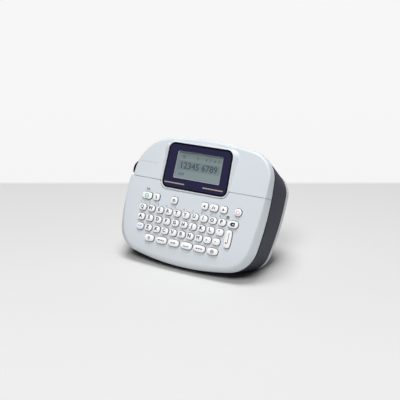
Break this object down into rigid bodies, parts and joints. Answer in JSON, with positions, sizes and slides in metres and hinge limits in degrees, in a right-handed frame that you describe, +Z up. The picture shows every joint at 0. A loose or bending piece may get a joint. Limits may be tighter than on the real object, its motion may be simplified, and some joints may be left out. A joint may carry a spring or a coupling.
{
  "type": "label maker",
  "caption": "Handheld label maker standing on its lower edge: pale front shell with sprung oval keys and a display, dark case, lift-off back cover, cutter lever, tape cassette and cells.",
  "frame": {"origin": "middle of the bounding box at the level the part stands on", "axes": "+X to the right across the face, -Y out in front of the face, +Z up; the face leans back 23.5 degrees"},
  "size_m": [0.1516, 0.0904, 0.1153],
  "materials": {
    "shell_plastic": "fine satin texture, pale blue grey",
    "case_plastic": "fine matt texture, dark purple grey",
    "cover_plastic": "fine satin texture, pale grey",
    "key_plastic": "smooth white",
    "window_plastic": "polished, clear over the display and dark printed border",
    "lcd_glass": "grey green liquid crystal display",
    "lever_plastic": "semi-gloss black",
    "mat_rubber": "matt silicone",
    "circuit_board": "solder resist",
    "cassette_plastic": "smoked plastic",
    "roller_rubber": "matt rubber",
    "head_metal": "satin",
    "cell_metal": "bright metal can"
  },
  "bodies": {
    "housing": {"front_shell": "shell_plastic", "display_window": "window_plastic", "lcd_panel": "lcd_glass", "key_mat": "mat_rubber", "main_board": "circuit_board", "mid_case": "case_plastic", "tape_cassette": "cassette_plastic", "battery_1": "cell_metal", "battery_2": "cell_metal", "battery_3": "cell_metal", "battery_4": "cell_metal", "print_head": "head_metal"},
    "back_cover": {"back_cover": "cover_plastic"},
    "cutter_lever": {"cutter_lever": "lever_plastic"},
    "platen_roller": {"platen_roller": "roller_rubber"},
    "key_q": {"key_q": "key_plastic"},
    "key_w": {"key_w": "key_plastic"},
    "key_e": {"key_e": "key_plastic"},
    "key_r": {"key_r": "key_plastic"},
    "key_t": {"key_t": "key_plastic"},
    "key_y": {"key_y": "key_plastic"},
    "key_u": {"key_u": "key_plastic"},
    "key_i": {"key_i": "key_plastic"},
    "key_o": {"key_o": "key_plastic"},
    "key_p": {"key_p": "key_plastic"},
    "key_a": {"key_a": "key_plastic"},
    "key_s": {"key_s": "key_plastic"},
    "key_d": {"key_d": "key_plastic"},
    "key_f": {"key_f": "key_plastic"},
    "key_g": {"key_g": "key_plastic"},
    "key_h": {"key_h": "key_plastic"},
    "key_j": {"key_j": "key_plastic"},
    "key_k": {"key_k": "key_plastic"},
    "key_l": {"key_l": "key_plastic"},
    "key_quote": {"key_quote": "key_plastic"},
    "key_shift": {"key_shift": "key_plastic"},
    "key_z": {"key_z": "key_plastic"},
    "key_x": {"key_x": "key_plastic"},
    "key_c": {"key_c": "key_plastic"},
    "key_v": {"key_v": "key_plastic"},
    "key_b": {"key_b": "key_plastic"},
    "key_n": {"key_n": "key_plastic"},
    "key_m": {"key_m": "key_plastic"},
    "key_comma": {"key_comma": "key_plastic"},
    "key_period": {"key_period": "key_plastic"},
    "key_print": {"key_print": "key_plastic"},
    "key_preview": {"key_preview": "key_plastic"},
    "key_menu": {"key_menu": "key_plastic"},
    "key_left": {"key_left": "key_plastic"},
    "key_down": {"key_down": "key_plastic"},
    "key_right": {"key_right": "key_plastic"},
    "key_power": {"key_power": "key_plastic"},
    "key_backspace": {"key_backspace": "key_plastic"},
    "key_enter": {"key_enter": "key_plastic"},
    "key_up": {"key_up": "key_plastic"},
    "key_symbol": {"key_symbol": "key_plastic"},
    "key_text": {"key_text": "key_plastic"},
    "key_space": {"key_space": "key_plastic"},
    "key_accent": {"key_accent": "key_plastic"},
    "key_globe": {"key_globe": "key_plastic"}
  },
  "joints": [
    {"name": "q_press", "type": "slide", "parent": "housing", "child": "key_q", "axis": [0, 0.9171, -0.3987], "range_m": [0, 0.0008], "stiffness_N_per_m": 500},
    {"name": "w_press", "type": "slide", "parent": "housing", "child": "key_w", "axis": [0, 0.9171, -0.3987], "range_m": [0, 0.0008], "stiffness_N_per_m": 500},
    {"name": "e_press", "type": "slide", "parent": "housing", "child": "key_e", "axis": [0, 0.9171, -0.3987], "range_m": [0, 0.0008], "stiffness_N_per_m": 500},
    {"name": "r_press", "type": "slide", "parent": "housing", "child": "key_r", "axis": [0, 0.9171, -0.3987], "range_m": [0, 0.0008], "stiffness_N_per_m": 500},
    {"name": "t_press", "type": "slide", "parent": "housing", "child": "key_t", "axis": [0, 0.9171, -0.3987], "range_m": [0, 0.0008], "stiffness_N_per_m": 500},
    {"name": "y_press", "type": "slide", "parent": "housing", "child": "key_y", "axis": [0, 0.9171, -0.3987], "range_m": [0, 0.0008], "stiffness_N_per_m": 500},
    {"name": "u_press", "type": "slide", "parent": "housing", "child": "key_u", "axis": [0, 0.9171, -0.3987], "range_m": [0, 0.0008], "stiffness_N_per_m": 500},
    {"name": "i_press", "type": "slide", "parent": "housing", "child": "key_i", "axis": [0, 0.9171, -0.3987], "range_m": [0, 0.0008], "stiffness_N_per_m": 500},
    {"name": "o_press", "type": "slide", "parent": "housing", "child": "key_o", "axis": [0, 0.9171, -0.3987], "range_m": [0, 0.0008], "stiffness_N_per_m": 500},
    {"name": "p_press", "type": "slide", "parent": "housing", "child": "key_p", "axis": [0, 0.9171, -0.3987], "range_m": [0, 0.0008], "stiffness_N_per_m": 500},
    {"name": "a_press", "type": "slide", "parent": "housing", "child": "key_a", "axis": [0, 0.9171, -0.3987], "range_m": [0, 0.0008], "stiffness_N_per_m": 500},
    {"name": "s_press", "type": "slide", "parent": "housing", "child": "key_s", "axis": [0, 0.9171, -0.3987], "range_m": [0, 0.0008], "stiffness_N_per_m": 500},
    {"name": "d_press", "type": "slide", "parent": "housing", "child": "key_d", "axis": [0, 0.9171, -0.3987], "range_m": [0, 0.0008], "stiffness_N_per_m": 500},
    {"name": "f_press", "type": "slide", "parent": "housing", "child": "key_f", "axis": [0, 0.9171, -0.3987], "range_m": [0, 0.0008], "stiffness_N_per_m": 500},
    {"name": "g_press", "type": "slide", "parent": "housing", "child": "key_g", "axis": [0, 0.9171, -0.3987], "range_m": [0, 0.0008], "stiffness_N_per_m": 500},
    {"name": "h_press", "type": "slide", "parent": "housing", "child": "key_h", "axis": [0, 0.9171, -0.3987], "range_m": [0, 0.0008], "stiffness_N_per_m": 500},
    {"name": "j_press", "type": "slide", "parent": "housing", "child": "key_j", "axis": [0, 0.9171, -0.3987], "range_m": [0, 0.0008], "stiffness_N_per_m": 500},
    {"name": "k_press", "type": "slide", "parent": "housing", "child": "key_k", "axis": [0, 0.9171, -0.3987], "range_m": [0, 0.0008], "stiffness_N_per_m": 500},
    {"name": "l_press", "type": "slide", "parent": "housing", "child": "key_l", "axis": [0, 0.9171, -0.3987], "range_m": [0, 0.0008], "stiffness_N_per_m": 500},
    {"name": "quote_press", "type": "slide", "parent": "housing", "child": "key_quote", "axis": [0, 0.9171, -0.3987], "range_m": [0, 0.0008], "stiffness_N_per_m": 500},
    {"name": "shift_press", "type": "slide", "parent": "housing", "child": "key_shift", "axis": [0, 0.9171, -0.3987], "range_m": [0, 0.0008], "stiffness_N_per_m": 500},
    {"name": "z_press", "type": "slide", "parent": "housing", "child": "key_z", "axis": [0, 0.9171, -0.3987], "range_m": [0, 0.0008], "stiffness_N_per_m": 500},
    {"name": "x_press", "type": "slide", "parent": "housing", "child": "key_x", "axis": [0, 0.9171, -0.3987], "range_m": [0, 0.0008], "stiffness_N_per_m": 500},
    {"name": "c_press", "type": "slide", "parent": "housing", "child": "key_c", "axis": [0, 0.9171, -0.3987], "range_m": [0, 0.0008], "stiffness_N_per_m": 500},
    {"name": "v_press", "type": "slide", "parent": "housing", "child": "key_v", "axis": [0, 0.9171, -0.3987], "range_m": [0, 0.0008], "stiffness_N_per_m": 500},
    {"name": "b_press", "type": "slide", "parent": "housing", "child": "key_b", "axis": [0, 0.9171, -0.3987], "range_m": [0, 0.0008], "stiffness_N_per_m": 500},
    {"name": "n_press", "type": "slide", "parent": "housing", "child": "key_n", "axis": [0, 0.9171, -0.3987], "range_m": [0, 0.0008], "stiffness_N_per_m": 500},
    {"name": "m_press", "type": "slide", "parent": "housing", "child": "key_m", "axis": [0, 0.9171, -0.3987], "range_m": [0, 0.0008], "stiffness_N_per_m": 500},
    {"name": "comma_press", "type": "slide", "parent": "housing", "child": "key_comma", "axis": [0, 0.9171, -0.3987], "range_m": [0, 0.0008], "stiffness_N_per_m": 500},
    {"name": "period_press", "type": "slide", "parent": "housing", "child": "key_period", "axis": [0, 0.9171, -0.3987], "range_m": [0, 0.0008], "stiffness_N_per_m": 500},
    {"name": "print_press", "type": "slide", "parent": "housing", "child": "key_print", "axis": [0, 0.9171, -0.3987], "range_m": [0, 0.0008], "stiffness_N_per_m": 500},
    {"name": "preview_press", "type": "slide", "parent": "housing", "child": "key_preview", "axis": [0, 0.9171, -0.3987], "range_m": [0, 0.0008], "stiffness_N_per_m": 500},
    {"name": "menu_press", "type": "slide", "parent": "housing", "child": "key_menu", "axis": [0, 0.9171, -0.3987], "range_m": [0, 0.0008], "stiffness_N_per_m": 500},
    {"name": "left_press", "type": "slide", "parent": "housing", "child": "key_left", "axis": [0, 0.9171, -0.3987], "range_m": [0, 0.0008], "stiffness_N_per_m": 500},
    {"name": "down_press", "type": "slide", "parent": "housing", "child": "key_down", "axis": [0, 0.9171, -0.3987], "range_m": [0, 0.0008], "stiffness_N_per_m": 500},
    {"name": "right_press", "type": "slide", "parent": "housing", "child": "key_right", "axis": [0, 0.9171, -0.3987], "range_m": [0, 0.0008], "stiffness_N_per_m": 500},
    {"name": "power_press", "type": "slide", "parent": "housing", "child": "key_power", "axis": [0, 0.9171, -0.3987], "range_m": [0, 0.0008], "stiffness_N_per_m": 500},
    {"name": "backspace_press", "type": "slide", "parent": "housing", "child": "key_backspace", "axis": [0, 0.9171, -0.3987], "range_m": [0, 0.0008], "stiffness_N_per_m": 500},
    {"name": "enter_press", "type": "slide", "parent": "housing", "child": "key_enter", "axis": [0, 0.9171, -0.3987], "range_m": [0, 0.0008], "stiffness_N_per_m": 500},
    {"name": "up_press", "type": "slide", "parent": "housing", "child": "key_up", "axis": [0, 0.9171, -0.3987], "range_m": [0, 0.0008], "stiffness_N_per_m": 500},
    {"name": "symbol_press", "type": "slide", "parent": "housing", "child": "key_symbol", "axis": [0, 0.9171, -0.3987], "range_m": [0, 0.0008], "stiffness_N_per_m": 500},
    {"name": "text_press", "type": "slide", "parent": "housing", "child": "key_text", "axis": [0, 0.9171, -0.3987], "range_m": [0, 0.0008], "stiffness_N_per_m": 500},
    {"name": "space_press", "type": "slide", "parent": "housing", "child": "key_space", "axis": [0, 0.9171, -0.3987], "range_m": [0, 0.0008], "stiffness_N_per_m": 500},
    {"name": "accent_press", "type": "slide", "parent": "housing", "child": "key_accent", "axis": [0, 0.9171, -0.3987], "range_m": [0, 0.0008], "stiffness_N_per_m": 500},
    {"name": "globe_press", "type": "slide", "parent": "housing", "child": "key_globe", "axis": [0, 0.9171, -0.3987], "range_m": [0, 0.0008], "stiffness_N_per_m": 500},
    {"name": "cover_lift_off", "type": "slide", "parent": "housing", "child": "back_cover", "axis": [0, 0.9171, -0.3987], "range_m": [0, 0.03]},
    {"name": "cutter_press", "type": "hinge", "parent": "housing", "child": "cutter_lever", "pos_m": [-0.06912, -0.00025, 0.07085], "axis": [0, 0.9171, -0.3987], "range_deg": [0, 8], "stiffness_Nm_per_rad": 0.08},
    {"name": "roller_turn", "type": "hinge", "parent": "housing", "child": "platen_roller", "pos_m": [-0.05572, 0.01586, 0.06276], "axis": [0, -0.9171, 0.3987], "continuous": true}
  ]
}
